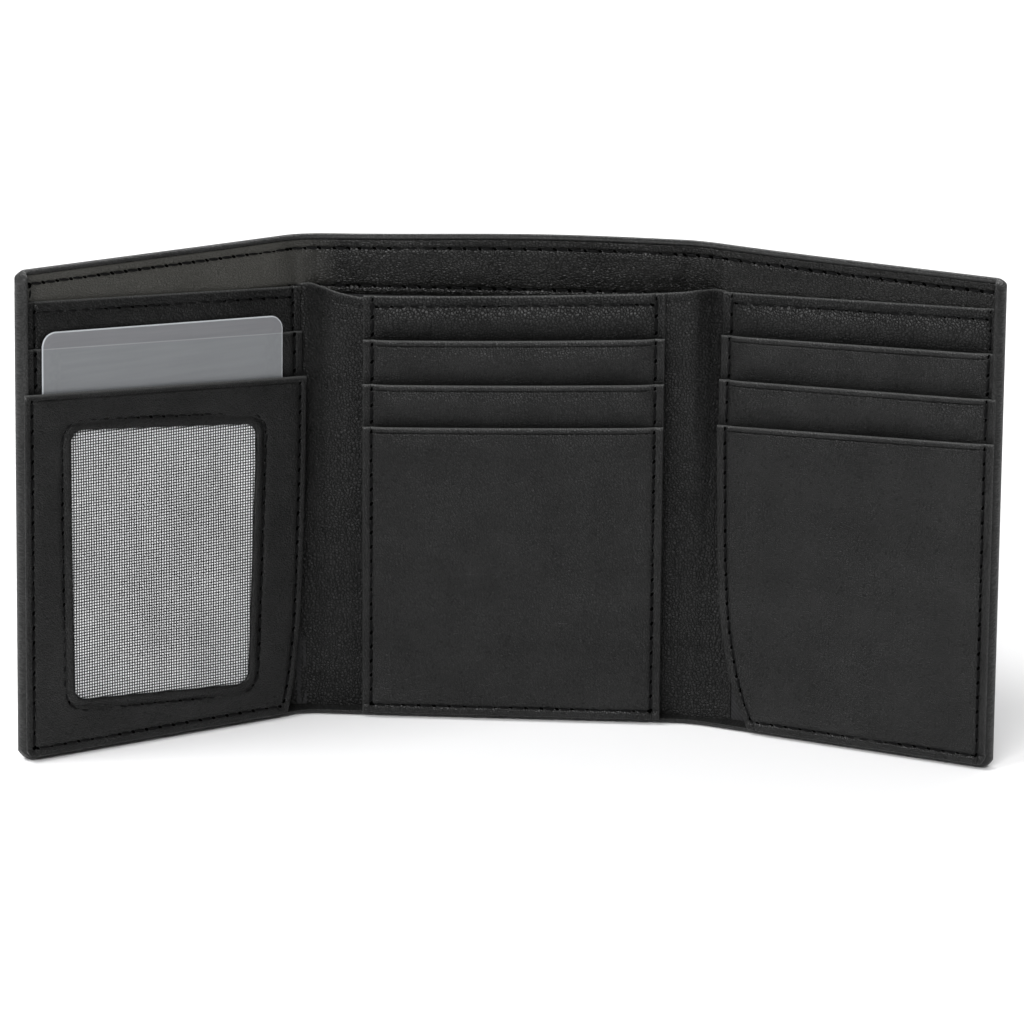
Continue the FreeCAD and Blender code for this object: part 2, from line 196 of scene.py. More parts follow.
def sheet_patch(name, panel, u0, u1, z0, z1, depth, thick, relief=None, corners=(), seed=1, wave=0.10, step=2.2, rad=None, lip=True, edge_highlight_dist=False, gap=0.0, pressed=False):
    """A leather layer on one panel. u0, u1 are functions of z; z0, z1 functions of u."""
    f = PANEL[panel]
    width = abs(u1(40.0) - u0(40.0))
    height = z1((u0(40.0) + u1(40.0)) / 2) - z0(0)
    A, B = np.meshgrid(ticks(width, step), ticks(height, step))
    zz = z0(0) + B * height
    u = u0(zz) + A * (u1(zz) - u0(zz))
    lo, hi = z0(u), z1(u)
    z = lo + B * (hi - lo)
    eu, ev = A * width, (1 - A) * width
    el, et = B * height, (1 - B) * height
    for r, su, sz in corners:
        u, z = corner(u, z, eu if su > 0 else ev, el if sz > 0 else et, r, su, sz)
    e = np.minimum(np.minimum(eu, ev), np.minimum(el, et))
    r = thick / 2 if rad is None else rad
    rd = rounding(e, r)
    push = waves(u, z, wave, 22.0, seed) * smooth(e / 5.0)
    if relief is not None:
        push = push + relief(u, z, eu, ev, el, et)
    follow = np.exp(-(et / 5.0) ** 2) if lip else 0.0 * et
    mid = depth + thick / 2
    yf = mid - rd * thick / 2 + push
    yb = mid + rd * thick / 2 * (1 - 0.45 * follow) + np.minimum(push, 0) * follow + np.where(e < 0.01, push * (1 - follow), 0.0)
    yb = np.maximum(yb, yf)
    # painted shade: less sheen on the band's lower part over the next opening (gap) and along the pressed line 1.3 mm
    # under the top edge (pressed)
    shade = gap * smooth((et - 7.0) / 2.8)
    if pressed:
        shade = np.maximum(shade, 0.8 * np.exp(-((et - 1.3) / 0.17) ** 2) * smooth((np.minimum(eu, ev) - 2.5) / 0.6))
    # painted highlight: paler along the top edge and, less, along the side edges, for the light those folded edges
    # catch
    edge_highlight = np.exp(-(et / 0.28) ** 2) + 0.35 * np.exp(-(np.minimum(eu, ev) / 0.25) ** 2)
    # with the edge-distance flag set, the rest attribute's y holds the distance from the edge, used for the sheet's
    # painted edge highlight
    return shell_mesh(name, f(u, yf, z), f(u, yb, z), np.stack([u, np.minimum(e, 5.0) if edge_highlight_dist else yf * 0 + depth, z], -1), edge_highlight=np.clip(edge_highlight, 0, 1), shade=shade if (gap or pressed) else None)


def groove(e, at, half, depth):
    return depth * np.exp(-((e - at) / half) ** 2)


# ------------------------------------------------------------------ materials
def nodes_of(name):
    mat = bpy.data.materials.new(name)
    mat.use_nodes = True
    nt = mat.node_tree
    for n in list(nt.nodes):
        nt.nodes.remove(n)
    out = nt.nodes.new("ShaderNodeOutputMaterial")
    bsdf = nt.nodes.new("ShaderNodeBsdfPrincipled")
    nt.links.new(bsdf.outputs[0], out.inputs[0])
    return mat, nt, bsdf


def node(nt, kind, **props):
    n = nt.nodes.new(kind)
    for k, v in props.items():
        if k.startswith("in_"):
            n.inputs[int(k[3:])].default_value = v
        else:
            setattr(n, k, v)
    return n


def ramp(nt, source, stops):
    r = nt.nodes.new("ShaderNodeValToRGB")
    while len(r.color_ramp.elements) < len(stops):
        r.color_ramp.elements.new(0.5)
    for el, (pos, col) in zip(r.color_ramp.elements, stops):
        el.position = pos
        el.color = col if len(col) == 4 else (*col, 1.0)
    nt.links.new(source, r.inputs[0])
    return r


def grey(v):
    return (v, v * 1.015, v * 1.0, 1.0)


def leather(name, dark, light, rough, grain=0.5, bump=0.35, cell=0.42, crease=0.2, tint=None, stretch=(1, 1, 1), spec=0.24):
    """Black leather: fine pebbles between hair-cell creases, a slow unevenness of tone, satin finish."""
    mat, nt, bsdf = nodes_of(name)
    L = nt.links.new
    att = node(nt, "ShaderNodeAttribute", attribute_name="rest")
    mp = node(nt, "ShaderNodeMapping")
    mp.inputs["Scale"].default_value = stretch
    L(att.outputs["Vector"], mp.inputs["Vector"])
    warp = node(nt, "ShaderNodeTexNoise")
    warp.inputs["Scale"].default_value = 1.3
    warp.inputs["Detail"].default_value = 2.0
    L(mp.outputs[0], warp.inputs["Vector"])
    mixv = node(nt, "ShaderNodeVectorMath", operation="MULTIPLY_ADD")
    mixv.inputs[1].default_value = (0.35, 0.35, 0.35)
    L(warp.outputs["Color"], mixv.inputs[0])
    L(mp.outputs[0], mixv.inputs[2])
    vor = node(nt, "ShaderNodeTexVoronoi", feature="DISTANCE_TO_EDGE")
    vor.inputs["Scale"].default_value = 1.0 / cell
    L(mixv.outputs[0], vor.inputs["Vector"])
    pebble = ramp(nt, vor.outputs["Distance"], [(0.0, (0, 0, 0)), (0.12, (0.62,) * 3), (0.45, (1, 1, 1))])
    pores = node(nt, "ShaderNodeTexNoise")
    pores.inputs["Scale"].default_value = 5.5
    pores.inputs["Detail"].default_value = 4.0
    pores.inputs["Roughness"].default_value = 0.65
    L(mp.outputs[0], pores.inputs["Vector"])
    slow = node(nt, "ShaderNodeTexNoise")
    slow.inputs["Scale"].default_value = 0.09
    slow.inputs["Detail"].default_value = 3.0
    L(att.outputs["Vector"], slow.inputs["Vector"])
    wr = node(nt, "ShaderNodeTexNoise")
    wr.inputs["Scale"].default_value = 0.55
    wr.inputs["Detail"].default_value = 5.0
    wr.inputs["Distortion"].default_value = 1.2
    L(att.outputs["Vector"], wr.inputs["Vector"])
    # tone: base grey, lighter on the pebbles, uneven over centimetres
    a = node(nt, "ShaderNodeMix", data_type="RGBA")
    a.inputs[6].default_value = grey(dark)
    a.inputs[7].default_value = grey(light)
    f1 = ramp(nt, slow.outputs["Fac"], [(0.3, (0, 0, 0)), (0.7, (1, 1, 1))])
    L(f1.outputs[0], a.inputs[0])
    b = node(nt, "ShaderNodeMix", data_type="RGBA", blend_type="MULTIPLY")
    b.inputs[0].default_value = grain
    L(a.outputs[2], b.inputs[6])
    L(pebble.outputs[0], b.inputs[7])
    if tint:
        c = node(nt, "ShaderNodeMix", data_type="RGBA", blend_type="MULTIPLY")
        c.inputs[0].default_value = 1.0
        c.inputs[7].default_value = (*tint, 1.0)
        L(b.outputs[2], c.inputs[6])
        b = c
    # painted highlight: the base colour goes towards grey 0.052 where the edge attribute is high
    edge_light = node(nt, "ShaderNodeAttribute", attribute_name="edge_highlight")
    w = node(nt, "ShaderNodeMix", data_type="RGBA")
    w.inputs[7].default_value = grey(0.052)
    L(edge_light.outputs["Fac"], w.inputs[0])
    L(b.outputs[2], w.inputs[6])
    L(w.outputs[2], bsdf.inputs["Base Color"])
    rr = ramp(nt, pores.outputs["Fac"], [(0.3, (rough - 0.06,) * 3), (0.7, (rough + 0.08,) * 3)])
    L(rr.outputs[0], bsdf.inputs["Roughness"])
    # relief
    b1 = node(nt, "ShaderNodeBump")
    b1.inputs["Strength"].default_value = crease
    b1.inputs["Distance"].default_value = 0.0004
    L(wr.outputs["Fac"], b1.inputs["Height"])
    b2 = node(nt, "ShaderNodeBump")
    b2.inputs["Strength"].default_value = bump
    b2.inputs["Distance"].default_value = 0.00016
    L(pebble.outputs[0], b2.inputs["Height"])
    L(b1.outputs[0], b2.inputs["Normal"])
    b3 = node(nt, "ShaderNodeBump")
    b3.inputs["Strength"].default_value = bump * 0.6
    b3.inputs["Distance"].default_value = 0.00006
    L(pores.outputs["Fac"], b3.inputs["Height"])
    L(b2.outputs[0], b3.inputs["Normal"])
    L(b3.outputs[0], bsdf.inputs["Normal"])
    # less sheen between the pebbles and in dull areas; painted shade: less sheen in the gap over the next opening and
    # along the pressed lines, from the shade attribute
    shade = node(nt, "ShaderNodeAttribute", attribute_name="shade")
    parts = []
    for src, lo, hi in ((pebble.outputs[0], 0.50, 1.22), (f1.outputs[0], 0.93, 1.08), (shade.outputs["Fac"], 1.0, 0.22)):
        m = node(nt, "ShaderNodeMapRange")
        m.inputs[3].default_value, m.inputs[4].default_value = lo, hi
        L(src, m.inputs[0])
        parts.append(m.outputs[0])
    m1 = node(nt, "ShaderNodeMath", operation="MULTIPLY")
    L(parts[0], m1.inputs[0])
    L(parts[1], m1.inputs[1])
    m2 = node(nt, "ShaderNodeMath", operation="MULTIPLY")
    L(m1.outputs[0], m2.inputs[0])
    L(parts[2], m2.inputs[1])
    m3 = node(nt, "ShaderNodeMath", operation="MULTIPLY")
    m3.inputs[1].default_value = spec
    L(m2.outputs[0], m3.inputs[0])
    L(m3.outputs[0], bsdf.inputs["Specular IOR Level"])
    return mat


def cloth(name, colour, rough, pitch, bump=0.5, spec=0.2):
    """A fine twill or a twisted thread: crossed waves in the piece's own millimetres."""
    mat, nt, bsdf = nodes_of(name)
    L = nt.links.new
    att = node(nt, "ShaderNodeAttribute", attribute_name="rest")
    w = node(nt, "ShaderNodeTexWave", wave_type="BANDS", bands_direction="DIAGONAL")
    w.inputs["Scale"].default_value = 0.32 / pitch
    w.inputs["Distortion"].default_value = 0.6
    w.inputs["Detail"].default_value = 1.0
    L(att.outputs["Vector"], w.inputs["Vector"])
    n = node(nt, "ShaderNodeTexNoise")
    n.inputs["Scale"].default_value = 2.5
    n.inputs["Detail"].default_value = 3.0
    L(att.outputs["Vector"], n.inputs["Vector"])
    c = ramp(nt, w.outputs["Fac"], [(0.0, tuple(x * 0.55 for x in colour)), (1.0, colour)])
    m = node(nt, "ShaderNodeMix", data_type="RGBA", blend_type="MULTIPLY")
    m.inputs[0].default_value = 0.35
    L(c.outputs[0], m.inputs[6])
    L(n.outputs["Fac"], m.inputs[7])
    L(m.outputs[2], bsdf.inputs["Base Color"])
    r = ramp(nt, n.outputs["Fac"], [(0.3, (rough - 0.05,) * 3), (0.7, (min(rough + 0.08, 1.0),) * 3)])
    L(r.outputs[0], bsdf.inputs["Roughness"])
    b = node(nt, "ShaderNodeBump")
    b.inputs["Strength"].default_value = bump
    b.inputs["Distance"].default_value = 0.00008
    L(w.outputs["Fac"], b.inputs["Height"])
    L(b.outputs[0], bsdf.inputs["Normal"])
    bsdf.inputs["Specular IOR Level"].default_value = spec
    return mat


M_POCKET = leather("leather_pocket", 0.0055, 0.0085, 0.34, grain=0.4, bump=0.7, cell=0.52, crease=0.2, spec=0.235)
M_COVER = leather("leather_cover", 0.008, 0.012, 0.40, grain=0.4, bump=0.5, cell=0.60, crease=0.2, spec=0.22)
M_FACING = leather("leather_facing", 0.003, 0.006, 0.30, grain=0.5, bump=0.7, cell=0.72, crease=0.6, tint=(1.0, 0.98, 0.92), stretch=(1, 1, 1.4), spec=0.22)
# painted highlight: the strip is painted lighter and greyer on the left panel, for the light it catches there
fnt_ = M_FACING.node_tree
fb_ = next(n for n in fnt_.nodes if n.type == "BSDF_PRINCIPLED")
old_ = fb_.inputs["Base Color"].links[0].from_socket
fa_ = node(fnt_, "ShaderNodeAttribute", attribute_name="rest")
fs_ = node(fnt_, "ShaderNodeSeparateXYZ")
fnt_.links.new(fa_.outputs["Vector"], fs_.inputs[0])
fr_ = node(fnt_, "ShaderNodeMapRange")
fr_.inputs[1].default_value, fr_.inputs[2].default_value, fr_.inputs[3].default_value, fr_.inputs[4].default_value = -54.0, -38.0, 0.75, 0.0
fnt_.links.new(fs_.outputs[0], fr_.inputs[0])
fmx_ = node(fnt_, "ShaderNodeMix", data_type="RGBA")
fmx_.inputs[7].default_value = (0.050, 0.049, 0.044, 1.0)
fnt_.links.new(fr_.outputs[0], fmx_.inputs[0])
fnt_.links.new(old_, fmx_.inputs[6])
fnt_.links.new(fmx_.outputs[2], fb_.inputs["Base Color"])
M_DIVIDER = leather("leather_divider", 0.005, 0.008, 0.38, grain=0.5, bump=1.0, cell=0.66, crease=0.35, spec=0.21)
M_LINING = cloth("lining_twill", (0.02, 0.02, 0.021), 0.75, 0.5)
M_THREAD = cloth("sewing_thread", (0.006, 0.006, 0.0063), 0.6, 0.18, 0.6, spec=0.07)
M_MESH = cloth("mesh_yarn", (0.010, 0.010, 0.0105), 0.5, 0.3, 0.3, spec=0.15)
# near-black needle holes: painted shade standing in for the dark inside each hole
M_HOLE_SHADE = cloth("needle_hole_shade", (0.001, 0.001, 0.001), 0.95, 0.3, 0.1, spec=0.0)
M_BOARD = cloth("fibre_board", (0.22, 0.21, 0.19), 0.85, 0.8, 0.3)

# the grey plastic sheet: frosted and a little see-through, with rolling streaks and faint scuffs
mat, nt, bsdf = nodes_of("frosted_sheet")
att = node(nt, "ShaderNodeAttribute", attribute_name="rest")
mp = node(nt, "ShaderNodeMapping")
mp.inputs["Scale"].default_value = (0.05, 1.0, 0.9)
nt.links.new(att.outputs["Vector"], mp.inputs["Vector"])
st = node(nt, "ShaderNodeTexNoise")
st.inputs["Scale"].default_value = 1.0
st.inputs["Detail"].default_value = 4.0
nt.links.new(mp.outputs[0], st.inputs["Vector"])
cr = ramp(nt, st.outputs["Fac"], [(0.25, (0.142, 0.146, 0.152)), (0.75, (0.163, 0.167, 0.173))])
sep = node(nt, "ShaderNodeSeparateXYZ")
nt.links.new(att.outputs["Vector"], sep.inputs[0])
dot = node(nt, "ShaderNodeVectorMath", operation="DOT_PRODUCT")
dot.inputs[1].default_value = (0.062, 0.0, 1.0)      # height over the rear pocket's edge, painted on the sheet rather than seen through
nt.links.new(att.outputs["Vector"], dot.inputs[0])
rng = node(nt, "ShaderNodeMapRange")
rng.inputs[1].default_value, rng.inputs[2].default_value = 85.6, 87.6
nt.links.new(dot.outputs["Value"], rng.inputs[0])
# painted highlight: a bright line where the rear pocket's edge would show through, the sheet a little lighter below it
# and darker above
seen = ramp(nt, rng.outputs[0], [(0.0, (1.04, 1.06, 1.07)), (0.43, (1.04, 1.06, 1.07)), (0.47, (1.55, 1.55, 1.55)), (0.53, (1.5, 1.5, 1.5)), (0.58, (0.93, 0.92, 0.94)), (1.0, (0.97, 0.96, 0.98))])
mul = node(nt, "ShaderNodeMix", data_type="RGBA", blend_type="MULTIPLY")
mul.inputs[0].default_value = 1.0
nt.links.new(cr.outputs[0], mul.inputs[6])
nt.links.new(seen.outputs[0], mul.inputs[7])
# painted highlight: a pale rim along the sheet's cut edge, from the edge distance kept in the rest attribute
rim_ = ramp(nt, sep.outputs[1], [(0.0, (1, 1, 1)), (0.22, (1, 1, 1)), (0.34, (0, 0, 0))])
mx = node(nt, "ShaderNodeMix", data_type="RGBA")
mx.inputs[7].default_value = (0.42, 0.44, 0.46, 1.0)
nt.links.new(rim_.outputs[0], mx.inputs[0])
nt.links.new(mul.outputs[2], mx.inputs[6])
nt.links.new(mx.outputs[2], bsdf.inputs["Base Color"])
rr = ramp(nt, st.outputs["Fac"], [(0.3, (0.30,) * 3), (0.7, (0.38,) * 3)])
nt.links.new(rr.outputs[0], bsdf.inputs["Roughness"])
bp = node(nt, "ShaderNodeBump")
bp.inputs["Strength"].default_value = 0.06
bp.inputs["Distance"].default_value = 0.0002
nt.links.new(st.outputs["Fac"], bp.inputs["Height"])
nt.links.new(bp.outputs[0], bsdf.inputs["Normal"])
bsdf.inputs["Alpha"].default_value = 0.84
M_SHEET = mat


def dress(obj, mat, body, replaces=()):
    obj.data.materials.clear()
    obj.data.materials.append(mat)
    if body:
        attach(obj, body)
    if replaces:
        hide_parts(*replaces)
    return obj


# ------------------------------------------------------------------ pocket layers
def const(v):
    return lambda x: v + 0 * np.asarray(x, float)


def slope(u_a, z_a, u_b, z_b):
    return lambda u: z_a + (np.asarray(u, float) - u_a) * (z_b - z_a) / (u_b - u_a)


def pocket_relief(strength=1.0, seam=2.0, top_crease=True, seam_low=False, hem=False, recess=0.0):
    """Pillowed face below a turned edge with its pressed line, a slightly open mouth, sewn sides."""
    def relief(u, z, eu, ev, el, et):
        side = np.minimum(eu, ev)
        inside = smooth((side - seam) / 4.0)
        y = -0.85 * strength * inside * smooth((et - 2.5) / 2.2 if hem else et / 1.5) * np.exp(-((et - (5.2 if hem else 4.2)) / (2.6 if hem else 3.1)) ** 2)
        y = y + recess * inside * np.exp(-((et - 10.6) / 2.2) ** 2)
        y = y - (0.15 if hem else 0.40) * strength * inside * np.exp(-(et / 1.7) ** 2)
        y = y - 0.08 * smooth((side - seam) / 1.2)
        if top_crease:
            y = y + groove(et, 1.30, 0.15, 0.26) * smooth((side - seam - 0.4) / 0.8)
            y = y - 0.07 * np.exp(-((et - 0.75) / 0.35) ** 2)
        if hem:
            y = y + groove(et, 2.4, 0.42, 0.24) * smooth((side - seam) / 0.6)
            y = y - 0.10 * np.exp(-((et - 1.2) / 0.7) ** 2)
        y = y + groove(side, seam, 0.42, 0.30)
        if seam_low:
            y = y + groove(el, seam, 0.42, 0.30)
        return y
    return relief


LU = lambda z: -67.7 + 0 * np.asarray(z, float)


def L_IN(z):
    return np.interp(np.asarray(z, float), [1.2, 3, 9, 15, 22, 32, 42, 55, 70, 110], [-4.1, -3.6, -2.4, -1.5, -0.8, -0.3, 0.0, 0.4, 0.6, 0.5])


def R_IN(z):
    return np.interp(np.asarray(z, float), [1.2, 2.3, 7.6, 13, 18.6, 24, 29.7, 40, 52, 70, 110], [14.4, 13.7, 11.2, 9.5, 8.35, 7.4, 6.8, 6.2, 5.9, 5.5, 5.3])


cl, cr_ = const(-33.6), const(31.7)


def centre_layer(name, top, depth, thick, low=1.2, mat=None, reps=None, **kw):
    obj = sheet_patch(name, "lean", cl, cr_, const(low), top, depth, thick, **kw)
    return dress(obj, mat or M_POCKET, "center", reps or [name[:-8]])


def sag(z_left, z_right, dip):
    return lambda u: z_left + (np.asarray(u, float) + 33.6) * (z_right - z_left) / 65.3 - dip * np.cos(np.clip((np.asarray(u, float) + 0.95) / 32.8, -1, 1) * math.pi / 2)


centre_layer("divider_center_leather", sag(95.9, 98.1, 0.3), 2.62, 0.75, mat=M_DIVIDER, reps=["divider_center"], relief=pocket_relief(0.9, top_crease=False, hem=True, recess=0.5), seed=2, gap=1.0)
centre_layer("slot_center_upper_leather", sag(86.2, 88.0, 0.25), 1.75, 0.85, relief=pocket_relief(recess=0.5), seed=3, gap=1.0, pressed=True)
centre_layer("slot_center_middle_leather", sag(76.4, 78.0, 0.2), 0.9, 0.85, relief=pocket_relief(recess=0.5), seed=4, gap=1.0, pressed=True)
centre_layer("slot_center_front_leather", sag(67.0, 68.5, 0.15), 0.0, 0.95, relief=pocket_relief(0.6, seam_low=True), seed=5, wave=0.14, pressed=True)

for name, top, out, depth, thick, mat, kw in (
    ("divider_right", slope(5.3, 97.8, 70.0, 101.4), 69.6, 2.62, 0.75, M_DIVIDER, {"top_crease": False, "hem": True, "recess": 0.5}),
    ("slot_right_upper", slope(5.3, 88.4, 70.0, 91.75), 69.8, 1.75, 0.85, M_POCKET, {"recess": 0.5}),
    ("slot_right_middle", slope(5.3, 78.8, 70.0, 82.0), 70.0, 0.9, 0.85, M_POCKET, {"recess": 0.5}),
    ("slot_right_front", slope(5.3, 68.8, 70.0, 72.4), 70.2, 0.0, 0.95, M_POCKET, {"seam_low": True}),
):
    obj = sheet_patch(name + "_leather", "right", R_IN, const(out), const(1.2), top, depth, thick,
                      relief=pocket_relief(0.6 if "front" in name else 1.0, **kw), seed=len(name) + int(depth * 10), wave=0.13,
                      gap=0.0 if "front" in name else 1.0, pressed="slot" in name, corners=[(2.0, -1, 1)])
    dress(obj, mat, "right_panel", [name])

obj = sheet_patch("slot_left_rear_leather", "left", const(-67.8), L_IN, const(1.2), slope(-67.7, 90.8, 0.0, 86.6), 1.92, 0.68, relief=pocket_relief(0.0, top_crease=False), seed=12, gap=0.7, wave=0.03)
dress(obj, M_POCKET, "left_panel", ["slot_left_rear"])
obj = sheet_patch("divider_left_leather", "left", const(-67.6), L_IN, const(1.2), slope(-66.4, 100.95, 0.0, 96.5), 2.62, 0.75, relief=pocket_relief(0.6, top_crease=False, hem=True), seed=13)
dress(obj, M_DIVIDER, "left_panel", ["divider_left"])


# ------------------------------------------------------------------ ID window frame, a sheet with a hole
WIN = [(-57.8, 12.6), (-14.1, 9.6), (-12.0, 67.8), (-58.3, 72.4)]     # corners, from low left, anticlockwise
WR = 3.0


def rounded_loop(pts, r, per_side, arc):
    """Points round a quadrilateral with rounded corners, corner by corner."""
    out = []
    n = len(pts)
    for i in range(n):
        p0, p1, p2 = (np.array(pts[(i - 1) % n], float), np.array(pts[i], float), np.array(pts[(i + 1) % n], float))
        d0, d1 = (p0 - p1) / np.linalg.norm(p0 - p1), (p2 - p1) / np.linalg.norm(p2 - p1)
        a, b = p1 + d0 * r, p1 + d1 * r
        c = a + b - p1
        for k in range(arc + 1):
            t = k / arc
            ang = t * math.pi / 2
            out.append(c + (a - c) * math.cos(ang) + (b - c) * math.sin(ang))
        p3 = np.array(pts[(i + 1) % n], float)
        e = p3 - d1 * r
        for k in range(1, per_side):
            out.append(b + (e - b) * (k / per_side))
    return np.array(out)


def outer_loop(per_side, arc):
    """The pocket's outline, matched point for point with the window's loop."""
    zt = slope(-69.5, 81.4, 0.6, 76.9)
    out = []
    quad = [(-69.5, 1.2), (float(L_IN(1.2)), 1.2), (0.6, float(zt(0.6))), (-69.5, float(zt(-69.5)))]
    for i in range(4):
        p0, p1, p2 = np.array(quad[(i - 1) % 4]), np.array(quad[i]), np.array(quad[(i + 1) % 4])
        d0, d1 = (p0 - p1) / np.linalg.norm(p0 - p1), (p2 - p1) / np.linalg.norm(p2 - p1)
        reach, after = (2.2 if i == 0 else 5.5), (2.2 if i == 3 else 5.5)
        for k in range(arc + 1):
            t = k / arc
            if i == 0:
                a, b = p1 + d0 * reach, p1 + d1 * reach
                c = a + b - p1
                out.append(c + (a - c) * math.cos(t * math.pi / 2) + (b - c) * math.sin(t * math.pi / 2))
            else:
                out.append(p1 + d0 * reach * (1 - 2 * t) if t < 0.5 else p1 + d1 * reach * (2 * t - 1))
        a, e = p1 + d1 * reach, p2 - d1 * after
        for k in range(1, per_side):
            out.append(a + (e - a) * (k / per_side))
    out = np.array(out)
    k = smooth((out[:, 0] + 12.0) / 8.0) * (out[:, 1] < 76.0)
    chord = -4.1 + (out[:, 1] - 1.2) * (0.6 + 4.1) / (76.9 - 1.2)
    out[:, 0] += k * (L_IN(out[:, 1]) - chord)
    return out


PS, ARC = 26, 8
inner, outer = rounded_loop(WIN, WR, PS, ARC), outer_loop(PS, ARC)
dist = np.linalg.norm(outer - inner, axis=1)
rings = np.array(sorted(set([0, 0.03, 0.1, 0.2, 0.34, 0.5, 0.8, 1.2, 1.6, 1.85, 2.0, 2.15, 2.4, 3.0, 3.8, 4.6])))
inv = []
for e in rings:
    inv.append(("in", e))
for e in [4.6, 3.6, 2.8, 2.3, 2.15, 2.0, 1.85, 1.7, 1.5, 1.38, 1.3, 1.22, 1.0, 0.7, 0.5, 0.34, 0.2, 0.1, 0.03, 0.0]:
    inv.append(("out", e))
P, EI, EO = [], [], []
for kind, e in inv:
    t = (e / dist) if kind == "in" else (1 - e / dist)
    t = np.clip(t, 0, 1)
    if kind == "in" and e >= 4.6:
        t = np.minimum(t, 0.48)
    if kind == "out" and e >= 4.6:
        t = np.maximum(t, 0.52)
    P.append(inner + (outer - inner) * t[:, None])
    EI.append(t * dist)
    EO.append((1 - t) * dist)
P, EI, EO = np.array(P), np.array(EI), np.array(EO)
ncol = P.shape[1]
u, z = P[..., 0], P[..., 1]
zt = slope(-69.5, 81.4, 0.6, 76.9)(u)
et = zt - z
side = np.minimum(u + 69.5, L_IN(z) - u)
low = z - 1.2
e = np.minimum(EI, np.minimum(np.minimum(np.maximum(et, 0), np.maximum(side, 0)), np.maximum(low, 0)))
e = np.where(EO < 1e-6, 0.0, np.where(EI < 1e-6, 0.0, np.maximum(e, 0.012)))
rd = rounding(e, 0.45)
push = waves(u, z, 0.10, 20.0, 31) * smooth(e / 4.0)
push = push - 0.30 * smooth((EI - 2.7) / 1.5) * smooth((side - 2.5) / 3) * np.exp(-((et - 4.4) / 2.6) ** 2) * smooth(et / 1.2)
push = push + groove(et, 1.30, 0.13, 0.16) * smooth((side - 2.6) / 0.8) - 0.06 * np.exp(-((et - 0.7) / 0.35) ** 2)
push = push + groove(side, 1.75, 0.42, 0.28) + groove(low, 2.0, 0.42, 0.28) * smooth(side / 2)
push = push + groove(EI, 2.3, 0.42, 0.28) - 0.14 * np.exp(-((EI - 0.9) / 0.6) ** 2)
yf = 0.48 - rd * 0.47 + push
yb = np.maximum(0.48 + rd * 0.42 + np.where(e < 0.005, push, 0), yf)
F, Bk = left(u, yf, z), left(u, yb, z)
rows = F.shape[0]
idx_f = np.arange(rows * ncol).reshape(rows, ncol)
idx_b = idx_f + rows * ncol
idx_b[0], idx_b[-1] = idx_f[0], idx_f[-1]
faces = []
for i in range(rows - 1):
    for j in range(ncol):
        k = (j + 1) % ncol
        faces.append([int(idx_f[i, j]), int(idx_f[i + 1, j]), int(idx_f[i + 1, k]), int(idx_f[i, k])])
        faces.append([int(idx_b[i, k]), int(idx_b[i + 1, k]), int(idx_b[i + 1, j]), int(idx_b[i, j])])
verts = np.concatenate([F.reshape(-1, 3), Bk.reshape(-1, 3)])
rest = np.concatenate([np.stack([u, 0 * u, z], -1).reshape(-1, 3)] * 2)
used, inverse = np.unique(np.array(faces), return_inverse=True)
obj = make("id_window_frame_leather", verts[used], inverse.reshape(-1, 4).tolist())
store_rest(obj, rest[used])
# painted highlight: paler along the frame's top edge
w_ = np.where(EO < 4.6, np.exp(-(np.maximum(et, 0) / 0.34) ** 2), 0.0)
store_edge_highlight(obj, np.concatenate([w_.ravel(), w_.ravel()])[used])
# painted shade: less sheen along the pressed line 1.3 mm under the top edge
w_ = 0.8 * np.exp(-((et - 1.3) / 0.17) ** 2) * smooth((side - 2.5) / 0.6)
store_shade(obj, np.concatenate([w_.ravel(), w_.ravel()])[used])
dress(obj, M_POCKET, "left_panel", ["id_window_frame"])

# ------------------------------------------------------------------ woven window mesh
PITCH, YARN = 0.62, 0.104


def window_y(u, z):
    return 1.03 + waves(u, z, 0.012, 26.0, 77)


